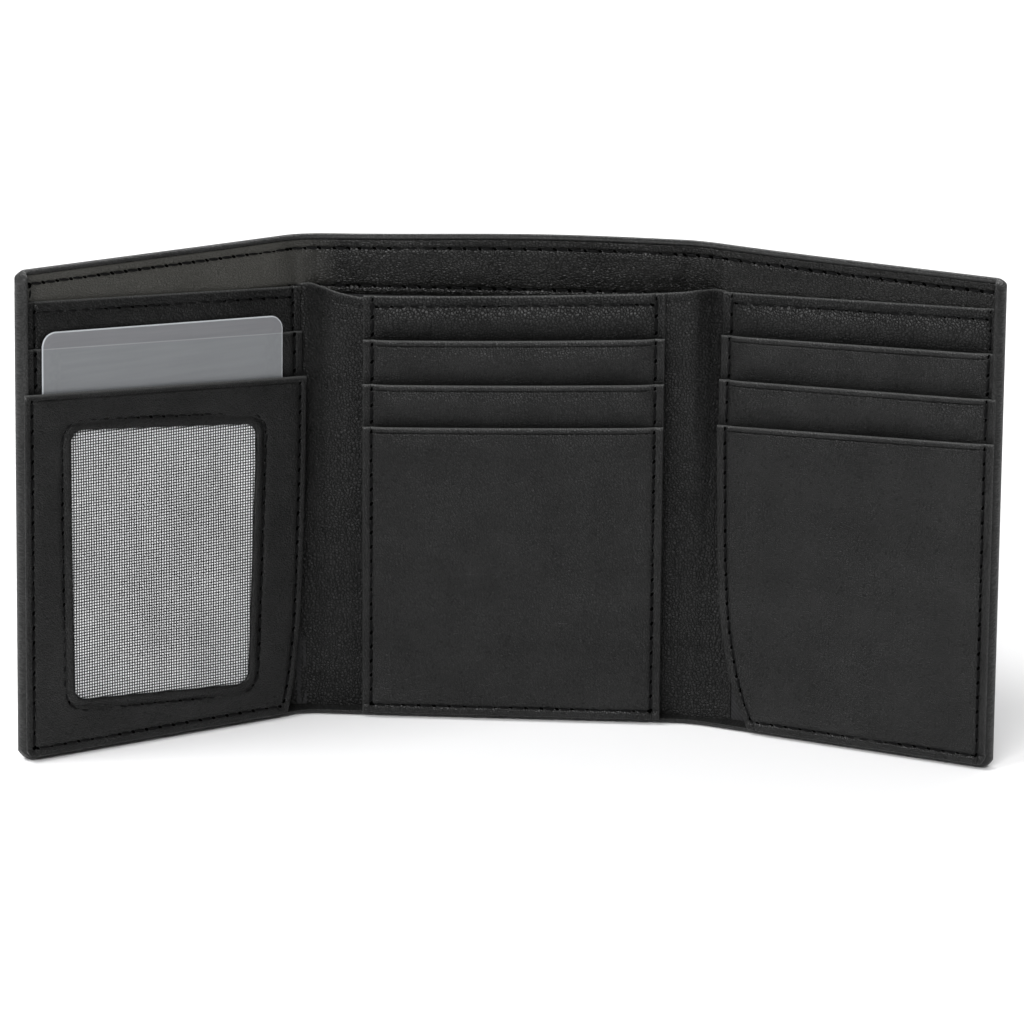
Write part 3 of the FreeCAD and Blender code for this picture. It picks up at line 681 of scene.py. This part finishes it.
def yarns():
    verts, faces, rest = [], [], []
    u_lo, u_hi, z_lo, z_hi = -60.4, -10.2, 9.6, 73.4
    nu, nz = int((u_hi - u_lo) / PITCH), int((z_hi - z_lo) / PITCH)

    def strand(us, zs, ys, along):
        base = len(verts)
        n = len(us)
        wob = 0.02
        for i in range(n):
            for a in range(4):
                ang = math.pi / 4 + a * math.pi / 2
                w, d = math.cos(ang) * YARN * 1.15, math.sin(ang) * YARN * 0.62
                if along == "z":
                    verts.append((us[i] + w, ys[i] + d, zs[i]))
                else:
                    verts.append((us[i], ys[i] + d, zs[i] + w))
                rest.append((us[i], ys[i], zs[i]))
        for i in range(n - 1):
            for a in range(4):
                b = (a + 1) % 4
                q = [base + i * 4 + a, base + i * 4 + b, base + (i + 1) * 4 + b, base + (i + 1) * 4 + a]
                faces.append(q if along == "z" else q[::-1])
        faces.append([base + a for a in (3, 2, 1, 0)] if along == "z" else [base + a for a in (0, 1, 2, 3)])
        top = base + (n - 1) * 4
        faces.append([top + a for a in (0, 1, 2, 3)] if along == "z" else [top + a for a in (3, 2, 1, 0)])

    for i in range(nu + 1):
        zs = z_lo + PITCH * np.arange(nz + 1)
        us = np.full_like(zs, u_lo + i * PITCH) + waves(zs, zs * 0 + i * 1.7, 0.045, 30.0, 5) + 0.05 * np.sin(zs * 0.11 + i * 0.35)
        ys = window_y(us, zs) + 0.05 * np.where((np.arange(nz + 1) + i) % 2 == 0, 1, -1)
        strand(us, zs, ys, "z")
    for j in range(nz + 1):
        us = u_lo + PITCH * np.arange(nu + 1)
        zs = np.full_like(us, z_lo + j * PITCH) + waves(us, us * 0 + j * 1.3, 0.045, 34.0, 6) + 0.12 * np.sin(us * 0.13 + j * 0.05)
        ys = window_y(us, zs) - 0.05 * np.where((np.arange(nu + 1) + j) % 2 == 0, 1, -1)
        strand(us, zs, ys, "u")
    v = np.array(verts)
    return left(v[:, 0], v[:, 1], v[:, 2]), faces, rest


v, f_, r_ = yarns()
obj = make("id_window_mesh_yarns", v, f_)
store_rest(obj, r_)
dress(obj, M_MESH, "left_panel", ["id_window_mesh"])

# ------------------------------------------------------------------ the plastic sheet
it = slope(-64.6, 94.3, -4.9, 90.9)
obj = sheet_patch("id_insert_plastic", "left", const(-64.6), const(-4.9), const(4.0), it, 1.30, 0.34,
                  corners=[(3.4, 1, -1), (3.0, -1, -1), (3.2, 1, 1), (3.2, -1, 1)],
                  seed=44, wave=0.04, rad=0.16, lip=False, edge_highlight_dist=True)
dress(obj, M_SHEET, "id_insert", ["id_insert_sheet"])
# the pale film that the mesh is bonded to
obj = sheet_patch("id_window_film", "left", const(-61.2), const(-9.2), const(7.4), slope(-61.2, 75.4, -9.2, 71.2), 1.15, 0.07, seed=45, wave=0.0, rad=0.03, step=6.0, lip=False)
matb, ntb, bb = nodes_of("backing_film")
attb = node(ntb, "ShaderNodeAttribute", attribute_name="rest")
nb = node(ntb, "ShaderNodeTexNoise")
nb.inputs["Scale"].default_value = 0.08
nb.inputs["Detail"].default_value = 2.0
ntb.links.new(attb.outputs["Vector"], nb.inputs["Vector"])
cb = ramp(ntb, nb.outputs["Fac"], [(0.3, (0.90, 0.91, 0.925)), (0.7, (0.95, 0.96, 0.97))])
ntb.links.new(cb.outputs[0], bb.inputs["Base Color"])
bb.inputs["Roughness"].default_value = 0.6
dress(obj, matb, "left_panel")


# ------------------------------------------------------------------ continuous strips across the folds
def hermite(p0, d0, p1, d1, t):
    t = np.asarray(t, float)[..., None]
    h0, h1, h2, h3 = 2 * t**3 - 3 * t**2 + 1, t**3 - 2 * t**2 + t, -2 * t**3 + 3 * t**2, t**3 - t**2
    return h0 * p0 + h1 * d0 + h2 * p1 + h3 * d1


def columns(side, u_end, u_in, x_in, n_panel, n_fold, n_mid, near=EDGE, x_stop=-0.9):
    """Plan positions of a strip's columns from a panel's outer edge to the wallet's middle (x = -0.9)."""
    cols = []
    if side == "left":
        L = u_in - u_end
        for t in ticks(L, 2.4, near, [0]):
            cols.append(("panel", u_end + t * L, 0.0))
    else:
        L = u_end - u_in
        for t in ticks(L, 2.4, near, [0]):
            cols.append(("panel", u_end - t * L, 0.0))
    for k in range(1, n_fold + 1):
        cols.append(("fold", k / (n_fold + 1), 0.0))
    for k in range(n_mid + 1):
        cols.append(("mid", x_in + (x_stop - x_in) * k / n_mid, 0.0))
    return cols


def strip_point(side, col, y, z, u_in, x_in, mid_panel, bow=0.0):
    """Where a column is at depth y and height z (arrays of z)."""
    kind, val, _ = col
    f = left if side == "left" else right
    z = np.asarray(z, float)
    if kind == "panel":
        return f(val + 0 * z, y + 0 * z, z)
    if kind == "mid":
        return PANEL[mid_panel](val + 0 * z, y + 0 * z, z)
    a, b = (LA, 1.0) if side == "left" else (RA, -1.0)
    p0 = f(u_in + 0 * z, y + 0 * z, z)
    p1 = PANEL[mid_panel](x_in + 0 * z, y + 0 * z, z)
    gap = np.linalg.norm((p1 - p0)[..., :2], axis=-1)[..., None]
    d0 = np.array([math.cos(a) * b, math.sin(a) * b, 0.0]) * gap
    d1 = np.array([b, 0.0, 0.0]) * gap
    out = hermite(p0, d0, p1, d1, val + 0 * z)
    out[..., 1] += (bow * (np.sin(math.pi * val)) ** 2)
    out[..., 2] = p0[..., 2] * (1 - smooth(val)) + p1[..., 2] * smooth(val)
    return out


def strip(name, side, u_end, u_in, x_in, mid_panel, z_lo, z_hi, depth, thick, n_fold=14, n_mid=18, relief=None, seed=9, wave=0.1, bow=None, corner_r=0.0, zticks=None, rad=None, x_stop=-0.9, top_edge_highlight=0.0):
    cols = columns(side, u_end, u_in, x_in, 0, n_fold, n_mid, x_stop=x_stop)
    nc = len(cols)
    # distance along the strip from its outer end
    mids = np.array([strip_point(side, c, depth, np.array([50.0]), u_in, x_in, mid_panel)[0] for c in cols])
    s = np.concatenate([[0], np.cumsum(np.linalg.norm(np.diff(mids[:, :2], axis=0), axis=1))])
    fold_lo = s[next(i for i, c in enumerate(cols) if c[0] == "fold")]
    fold_hi = s[max(i for i, c in enumerate(cols) if c[0] == "fold")]
    lo, hi = z_lo(s), z_hi(s)
    height = float(np.max(hi - lo))
    B = ticks(height, 2.4) if zticks is None else zticks
    front, back, rest, edge_light = [], [], [], []
    for i, c in enumerate(cols):
        z = lo[i] + B * (hi[i] - lo[i])
        el, et = B * (hi[i] - lo[i]), (1 - B) * (hi[i] - lo[i])
        e = np.minimum(np.minimum(el, et), s[i])
        r = thick / 2 if rad is None else rad
        rd = rounding(e, r)
        sc = s[i] - s[-1] if side == "left" else s[-1] - s[i]
        push = waves(sc + 0 * z, z, wave, 22.0, seed) * smooth(e / 5.0)
        if relief is not None:
            push = push + relief(s[i], z, el, et, fold_lo, fold_hi, sc)
        b = 0.0 if bow is None else bow(z)
        yf = depth + thick / 2 - rd * thick / 2 + push
        yb = np.maximum(depth + thick / 2 + rd * thick / 2 + np.where(e < 0.005, push, 0) + 0 * z, yf)
        front.append(strip_point(side, c, yf, z, u_in, x_in, mid_panel, b))
        back.append(strip_point(side, c, yb, z, u_in, x_in, mid_panel, b))
        # painted highlight along the strip's top edge
        edge_light.append(top_edge_highlight * np.exp(-(et / 0.34) ** 2))
        rest.append(np.stack([sc + 0 * z, 0 * z, z], -1))
    front, back, rest, edge_light = np.array(front), np.array(back), np.array(rest), np.array(edge_light).T
    # rows run up, columns along: transpose so that the faces look outwards on both sides
    front, back, rest = front.transpose(1, 0, 2), back.transpose(1, 0, 2), rest.transpose(1, 0, 2)
    if side == "right":
        front, back, rest, edge_light = front[:, ::-1], back[:, ::-1], rest[:, ::-1], edge_light[:, ::-1]
    obj = shell_mesh(name, front, back, rest, cap=-1 if side == "left" else 0, edge_highlight=edge_light)
    return obj, s


def join(obj, side):
    """Bakes a strip's placement into its mesh."""
    if side == "left":
        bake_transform(obj)
    else:
        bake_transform(obj)


def fold_creases(s, z, el, et, lo, hi, amp=0.18):
    """Upright wrinkles where the leather bends."""
    c = (lo + hi) / 2
    w = np.exp(-((s - c) / 8.0) ** 2)
    return amp * w * (np.sin(s * 1.15 + 0.25 * np.sin(z * 0.13)) + 0.5 * np.sin(s * 2.7 + z * 0.07))


# outer cover, with its turned edge standing forward round the rim
def cover_strip(side, u_end, u_in, x_in):
    cols = columns(side, u_end, u_in, x_in, 0, 16, 20)
    mids = np.array([strip_point(side, c, 5.1, np.array([50.0]), u_in, x_in, "center")[0] for c in cols])
    s = np.concatenate([[0], np.cumsum(np.linalg.norm(np.diff(mids[:, :2], axis=0), axis=1))])
    B = ticks(H, 2.4)
    R = 3.0 if side == "left" else 2.4
    front, back, rest, edge_light = [], [], [], []
    for i, c in enumerate(cols):
        q = max(R - s[i], 0.0)
        cut = R - math.sqrt(max(R * R - q * q, 0.0))
        cut_top = cut
        sc = s[i] - s[-1] if side == "left" else s[-1] - s[i]
        top = H - 0.35 + 1.0 * math.exp(-((sc - 8.0) / 34.0) ** 2)
        z = cut + B * (top - cut - cut_top)
        el, et = B * H, (1 - B) * H
        end = s[i] + 0 * z
        rim_low = smooth(1 - np.clip((el - 1.2) / 1.1, 0, 1))
        rim_end = smooth(1 - np.clip((end - 1.5) / 1.1, 0, 1))
        rim = np.maximum(rim_low, rim_end * smooth((H - 0.0 - z) / 3.0 + 0.35))
        e = np.minimum(np.minimum(el, et), end)
        rd = rounding(e, 1.5)
        rdt = rounding(np.minimum(et, end + 9), 0.85)
        # thickness: 1.2 on the face, 4.7 on the turned rim, 2.6 along the top edge
        lip = np.exp(-(et / 1.35) ** 6) * 1.0
        y_in = 4.5 - 3.5 * rim - lip * 1.15 * (1 - rim)
        y_out = 5.7 + 0 * z
        mid = (y_in + y_out) / 2
        half = (y_out - y_in) / 2
        k = np.where(et < 3.0, np.minimum(rounding(np.minimum(el, end), 1.6), rdt), rd)
        yf = mid - half * k + waves(sc + 0 * z, z, 0.05, 18, 3) * smooth(e / 3)
        wr = fold_creases(s[i], z, el, et, s[next(j for j, cc in enumerate(cols) if cc[0] == "fold")], s[max(j for j, cc in enumerate(cols) if cc[0] == "fold")], 0.05)
        yb = mid + half * k + (waves(sc + 0 * z, z, 0.14, 26, 8) + wr) * smooth(e / 4) + groove(np.minimum(e, 9), 3.4, 0.35, -0.16)
        yb = np.maximum(yb, yf)
        front.append(strip_point(side, c, yf, z, u_in, x_in, "center"))
        back.append(strip_point(side, c, yb, z, u_in, x_in, "center"))
        rest.append(np.stack([sc + 0 * z, 0 * z, z], -1))
        # painted highlight: paler along the top rim and the outer end
        edge_light.append(np.clip(0.15 * np.exp(-(et / 0.75) ** 4) + 0.10 * np.exp(-(end / 1.2) ** 4), 0, 1))
    edge_light = np.array(edge_light).T
    edge_light = edge_light[:, ::-1] if side == "right" else edge_light
    front, back, rest = [np.array(a).transpose(1, 0, 2) for a in (front, back, rest)]
    if side == "right":
        front, back, rest = front[:, ::-1], back[:, ::-1], rest[:, ::-1]
    return shell_mesh("cover_leather_" + side, front, back, rest, cap=-1 if side == "left" else 0, edge_highlight=edge_light), s


for side, u_end, u_in, x_in in (("left", -69.6, -2.5, -36.5), ("right", 70.7, 5.5, 34.8)):
    reps = ["cover_left", "cover_fold_left", "cover_center"] if side == "left" else ["cover_right", "cover_fold_right"]
    obj, s_cover = cover_strip(side, u_end, u_in, x_in)
    dress(obj, M_COVER, None, ())
    join(obj, side)
    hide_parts(*reps)

    # bill lining
    ue = u_end + 2.0 if side == "left" else u_end - 2.0
    obj, s_lin = strip("bill_lining_cloth_" + side, side, ue, u_in, x_in, "center", const(1.6), const(95.4), 3.75, 0.3, n_fold=10, n_mid=12, seed=21, wave=0.05)
    dress(obj, M_LINING, None)
    join(obj, side)
    print("LINING", side, round(float(s_lin[-1]), 2))
    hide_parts(*(["bill_lining_left", "bill_lining_center"] if side == "left" else ["bill_lining_right"]))

    # facing strip, with a turned and stitched lower hem
    def facing_relief(s, z, el, et, lo, hi, sc):
        y = groove(et, 2.0, 0.45, 0.30) + groove(el, 1.9, 0.40, 0.26) - 0.12 * np.exp(-((el - 0.9) / 0.6) ** 2)
        y = y - 0.10 * np.sin(np.clip(el / 11.5, 0, 1) * math.pi)
        y = y + fold_creases(s, z, el, et, lo, hi, 0.13) * smooth(el / 2) * smooth(et / 2)
        return y + waves(sc + 0 * z, z, 0.07, 5.0, 50) + waves(sc + 0.6 * z, z * 0.5, 0.10, 12.0, 51)

    obj, _ = strip("facing_leather_" + side, side, u_end + 1.6 if side == "left" else u_end - 1.6, u_in, x_in, "center", const(94.6), lambda s, side=side: 106.55 + 1.0 * np.exp(-(((s - s.max()) * (1 if side == "left" else -1) - 8.0) / 34.0) ** 2), 3.55, 0.75, n_fold=22, n_mid=34, seed=23, wave=0.08, relief=facing_relief)
    dress(obj, M_FACING, None)
    join(obj, side)
    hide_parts(*(["facing_strip_left", "facing_strip_center"] if side == "left" else ["facing_strip_right"]))

    # gusset between the panels' pocket stacks, closing the compartment's front at the fold
    ug_end, ug_in, xg_in, xg_stop = (-2.6, -0.4, -33.4, -30.6) if side == "left" else (8.6, 6.2, 31.6, 28.8)

    def gusset_top(s, side=side):
        s = np.asarray(s, float)
        if side == "left":
            return np.interp(s, [0, 3, 6, 9, 13, 17, 22], [96.3, 96.9, 97.4, 97.1, 96.2, 95.4, 95.0])
        return np.interp(s, [0, 3, 6, 9, 12, 16, 22], [97.3, 98.0, 98.6, 98.8, 98.4, 97.9, 97.6])

    def gusset_relief(s, z, el, et, lo, hi, sc):
        y = groove(et, 2.3, 0.35, 0.15) - 0.08 * np.exp(-((et - 1.0) / 0.6) ** 2)
        return y + fold_creases(s, z, el, et, lo, hi, 0.10) * smooth(et / 3)

    def gusset_bow(z):
        return -1.7 * smooth((np.asarray(z) - 10) / 80.0) - 0.9

    # the gusset's top edge gets a painted highlight
    obj, _ = strip("gusset_leather_" + side, side, ug_end, ug_in, xg_in, "lean", const(1.4), gusset_top, 3.38, 0.36, n_fold=26, n_mid=5, seed=25, wave=0.08, relief=gusset_relief, bow=gusset_bow, x_stop=xg_stop, top_edge_highlight=0.9)
    dress(obj, M_DIVIDER, None)
    join(obj, side)
    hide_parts("gusset_" + side)


# ------------------------------------------------------------------ stitching
class Seam:
    def __init__(self):
        self.v, self.f, self.r = [], [], []
        self.hv, self.hf = [], []

    def run(self, pts, normal, pitch=3.3, size=0.27, hole=True, slant=0.5):
        """pts: a polyline in mm in the wallet's frame; normal: the way the leather faces."""
        pts = np.array(pts, float)
        seg = np.linalg.norm(np.diff(pts, axis=0), axis=1)
        cum = np.concatenate([[0], np.cumsum(seg)])
        total = cum[-1]
        count = max(1, int(round(total / pitch)))
        step = total / count
        nrm = np.array(normal, float)
        nrm /= np.linalg.norm(nrm)

        def at(d):
            return np.array([np.interp(d, cum, pts[:, k]) for k in range(3)])

        for i in range(count):
            c0, c1 = at(i * step + 0.16 * step), at((i + 1) * step - 0.16 * step)
            d = c1 - c0
            ln = np.linalg.norm(d)
            d /= ln
            side = np.cross(d, nrm)
            side /= np.linalg.norm(side)
            base = len(self.v)
            rings = 7
            for k in range(rings):
                t = k / (rings - 1)
                bulge = math.sin(math.pi * (0.08 + 0.84 * t))
                rad = size * (0.45 + 0.55 * bulge)
                lift = 0.17 * bulge - 0.10
                c = c0 + d * ln * t + nrm * lift + side * (t - 0.5) * 0.22
                for a in range(8):
                    ang = a * math.pi / 4
                    self.v.append(c + side * math.cos(ang) * rad + nrm * math.sin(ang) * rad * 0.8)
                    self.r.append((i * 3.0 + t * 2.5, math.cos(ang), math.sin(ang)))
            for k in range(rings - 1):
                for a in range(8):
                    b = (a + 1) % 8
                    self.f.append([base + k * 8 + a, base + k * 8 + b, base + (k + 1) * 8 + b, base + (k + 1) * 8 + a])
            self.f.append([base + a for a in range(7, -1, -1)])
            self.f.append([base + (rings - 1) * 8 + a for a in range(8)])
        # the needle holes: small near-black plugs on the leather's face, painted shade for the dark of each hole
        if hole:
            for i in range(count + 1):
                c = at(i * step)
                d = at(min(i * step + 0.5, total)) - at(max(i * step - 0.5, 0))
                d /= np.linalg.norm(d) + 1e-9
                side = np.cross(d, nrm)
                base = len(self.hv)
                ax = d * math.cos(slant) + side * math.sin(slant)
                bx = -d * math.sin(slant) + side * math.cos(slant)
                for lift, k in ((0.035, 1.0), (-0.3, 0.7)):
                    for a in range(8):
                        ang = a * math.pi / 4
                        self.hv.append(c + nrm * lift + ax * math.cos(ang) * 0.55 * k + bx * math.sin(ang) * 0.30 * k)
                self.hf.append([base + a for a in range(8)])
                self.hf.append([base + 15 - a for a in range(8)])
                for a in range(8):
                    b = (a + 1) % 8
                    self.hf.append([base + b, base + a, base + 8 + a, base + 8 + b])

    def build(self, name, body, reps):
        n = len(self.v)
        verts = self.v + self.hv
        faces = self.f + [[i + n for i in q] for q in self.hf]
        obj = make(name, verts, faces)
        store_rest(obj, list(self.r) + [(0, 0, 0)] * len(self.hv))
        obj.data.materials.append(M_THREAD)
        obj.data.materials.append(M_HOLE_SHADE)
        nf = len(self.f)
        for i, p in enumerate(obj.data.polygons):
            p.material_index = 0 if i < nf else 1
        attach(obj, body)
        if reps:
            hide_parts(*reps)
        return obj


def line(panel, pts):
    out = []
    for (u, y, z) in pts:
        out.append(PANEL[panel](np.array(float(u)), np.array(float(y)), np.array(float(z))))
    return out


def facing(panel, lean_=False):
    a = {"left": LA, "right": RA}.get(panel, 0.0)
    n = np.array([math.sin(a), -math.cos(a), 0.0])
    if panel == "lean":
        n = np.array([0, -math.cos(LEAN), -math.sin(LEAN)])
    return n


G = 0.20      # the seam's groove
# left panel
sm = Seam()
n = facing("left")
sm.run(line("left", [(-67.75, G, 3.4), (-67.75, G, 80.0)]), n)
sm.run(line("left", [(-67.0, G, 3.2), (-6.2, G, 3.2)]), n)
sm.run(line("left", [(float(L_IN(z)) - 1.75, G, z) for z in np.linspace(4.2, 75.6, 24)]), n)
sm.run(line("left", [(-65.8, 2.0, 82.6), (-65.8, 2.0, 89.6)]), n)
sm.run(line("left", [(-65.6, 2.82, 91.4), (-65.6, 2.82, 98.6)]), n)
sm.run(line("left", [(-1.5, 2.0, 78.0), (-1.5, 2.0, 86.0)]), n)
sm.run(line("left", [(-1.5, 2.82, 87.2), (-1.5, 2.82, 95.6)]), n)
sm.run(line("left", [(u, 2.76, 100.95 - 2.35 + (u + 66.4) * (96.5 - 100.95) / 66.4) for u in np.linspace(-64.6, -2.4, 10)]), n)
sm.run(line("left", [(-66.2, 3.66, 104.55), (-2.5, 3.66, 104.7)]), n)
sm.run(line("left", [(-66.2, 3.6, 100.9), (-66.2, 3.6, 104.0)]), n)
sm.build("seam_stitches_left", "left_panel", ["seam_thread_left"])

wt = Seam()
loop = rounded_loop([(-60.2, 10.2), (-11.8, 7.0), (-9.5, 70.3), (-60.7, 74.9)], 4.9, 14, 6)
loop = np.vstack([loop, loop[:1]])
wt.run(line("left", [(p[0], 0.22, p[1]) for p in loop]), n, pitch=3.2)
wt.build("window_stitches", "left_panel", ["window_thread"])

# centre
sm = Seam()
n = facing("lean")
for x, zs in ((-31.6, (66.0, 68.0, 75.4, 77.4, 85.2, 87.2, 95.0)), (29.7, (67.4, 69.4, 77.0, 79.0, 87.0, 89.0, 96.8))):
    sm.run(line("lean", [(x, G, 3.4), (x, G, zs[0])]), n)
    sm.run(line("lean", [(x, 1.10, zs[1]), (x, 1.10, zs[2])]), n)
    sm.run(line("lean", [(x, 1.95, zs[3]), (x, 1.95, zs[4])]), n)
    sm.run(line("lean", [(x, 2.82, zs[5]), (x, 2.82, zs[6])]), n)
sm.run(line("lean", [(-31.3, G, 3.2), (29.4, G, 3.2)]), n)
sm.run(line("lean", [(x, 2.76, 95.9 - 2.65 + (x + 33.6) * 2.2 / 65.3) for x in np.linspace(-30.6, 28.8, 9)]), n)
n = facing("center")
sm.run(line("center", [(-35.0, 3.66, 104.8), (-18, 3.66, 105.2), (8, 3.66, 105.5), (33.4, 3.66, 105.1)]), n)
sm.run(line("center", [(-35.0, 3.66, 96.5), (33.4, 3.66, 96.5)]), n)
sm.build("seam_stitches_center", "center", ["seam_thread_center"])

# right panel
sm = Seam()
n = facing("right")
sm.run(line("right", [(float(R_IN(z)) + 1.95, G, z) for z in np.linspace(4.0, 68.2, 24)]), n)
sm.run(line("right", [(16.6, G, 3.2), (67.4, G, 3.2)]), n)
sm.run(line("right", [(68.2, G, 3.4), (68.2, G, 71.2)]), n)
for u, tops in ((7.4, (69.8, 78.0, 79.6, 87.8, 89.2, 97.0)), (67.8, (73.2, 81.2, 82.8, 91.0, 92.6, 100.6))):
    for k, y in enumerate((1.10, 1.95, 2.82)):
        sm.run(line("right", [(u, y, tops[2 * k]), (u, y, tops[2 * k + 1])]), n)
sm.run(line("right", [(u, 2.76, 97.8 - 2.35 + (u - 5.3) * 3.6 / 64.7) for u in np.linspace(8.4, 66.8, 10)]), n)
sm.run(line("right", [(5.5, 3.66, 104.9), (30.0, 3.66, 104.6), (68.4, 3.66, 104.55)]), n)
sm.run(line("right", [(68.2, 3.6, 102.0), (68.2, 3.6, 104.0)]), n)
sm.build("seam_stitches_right", "right_panel", ["seam_thread_right"])

# stitches over each fold, on the facing strip and the divider's hem, laid along the fold's curve
for side, u_in, x_in in (("left", -2.5, -36.5), ("right", 5.5, 34.8)):
    sm = Seam()
    for z, y in ((104.75 if side == "left" else 105.0, 3.66), (96.5, 3.66)):
        pts = [strip_point(side, ("fold", t, 0), y, np.array([z]), u_in, x_in, "center")[0] for t in np.linspace(0.06, 0.94, 9)]
        n = facing(side) + np.array([0, -1.0, 0])
        sm.run(pts, n)
    n_ = len(sm.v)
    obj = make("fold_stitches_" + side, sm.v + sm.hv, sm.f + [[i + n_ for i in q] for q in sm.hf])
    store_rest(obj, list(sm.r) + [(0, 0, 0)] * len(sm.hv))
    obj.data.materials.append(M_THREAD)
    obj.data.materials.append(M_HOLE_SHADE)
    for i, p in enumerate(obj.data.polygons):
        p.material_index = 0 if i < len(sm.f) else 1
    join(obj, side)

# ------------------------------------------------------------------ the CAD nodes that stay
for name, ob in frame["nodes"].items() if isinstance(frame["nodes"], dict) else []:
    pass
for name in ("cover_stiffener_left", "cover_stiffener_center", "cover_stiffener_right"):
    ob = bpy.data.objects.get(name)
    if ob is not None:
        ob.data.materials.clear()
        ob.data.materials.append(M_BOARD)

# ------------------------------------------------------------------ stage, light, camera
bpy.ops.mesh.primitive_plane_add(size=12.0, location=(0, 0, 0))
floor = bpy.context.object
floor.name = "floor"
fm, fnt, fb = nodes_of("floor_white")
fb.inputs["Base Color"].default_value = (0.87, 0.87, 0.875, 1)
fb.inputs["Roughness"].default_value = 0.6
fb.inputs["Specular IOR Level"].default_value = 0.2
floor.data.materials.append(fm)

world = bpy.data.worlds.new("studio")
bpy.context.scene.world = world
world.use_nodes = True
world.node_tree.nodes["Background"].inputs[0].default_value = (1.0, 1.0, 1.0, 1)
world.node_tree.nodes["Background"].inputs[1].default_value = 0.36


def area(name, loc, target, size, power):
    lamp = bpy.data.lights.new(name, "AREA")
    lamp.shape = "RECTANGLE"
    lamp.size, lamp.size_y = size
    lamp.energy = power
    ob = bpy.data.objects.new(name, lamp)
    bpy.context.scene.collection.objects.link(ob)
    ob.location = loc
    ob.rotation_euler = (Vector(target) - Vector(loc)).to_track_quat("-Z", "Y").to_euler()
    return ob


area("key", (-0.75, -0.45, 1.2), (0, 0, 0.05), (0.7, 0.45), 15.5)
area("front", (-0.35, -1.7, 1.05), (0, 0, 0.05), (1.0, 0.4), 35.0)
area("back_strip", (0.1, 0.95, 0.75), (0, 0, 0.09), (1.4, 0.2), 9.0)

e_, az_, roll_, dist_, F_ = math.radians(15), math.radians(3.2), math.radians(0.62), 1.5, 6990.0
target = Vector((-0.376, -2.83, 53.0)) / 1000
backv = Vector((math.sin(az_) * math.cos(e_), -math.cos(az_) * math.cos(e_), math.sin(e_)))
rightv = Vector((math.cos(az_), math.sin(az_), 0))
upv = backv.cross(rightv)
R_ = math.cos(roll_) * rightv + math.sin(roll_) * upv
U_ = -math.sin(roll_) * rightv + math.cos(roll_) * upv
cam_data = bpy.data.cameras.new("camera")
cam = bpy.data.objects.new("camera", cam_data)
bpy.context.scene.collection.objects.link(cam)
m3 = Matrix((R_, U_, backv)).transposed()
cam.matrix_world = Matrix.Translation(target + backv * dist_) @ m3.to_4x4()
cam_data.sensor_width = 36.0
cam_data.lens = F_ / 1024.0 * 36.0
cam_data.clip_start, cam_data.clip_end = 0.05, 50
bpy.context.scene.camera = cam
bpy.context.scene.view_settings.view_transform = "Standard"
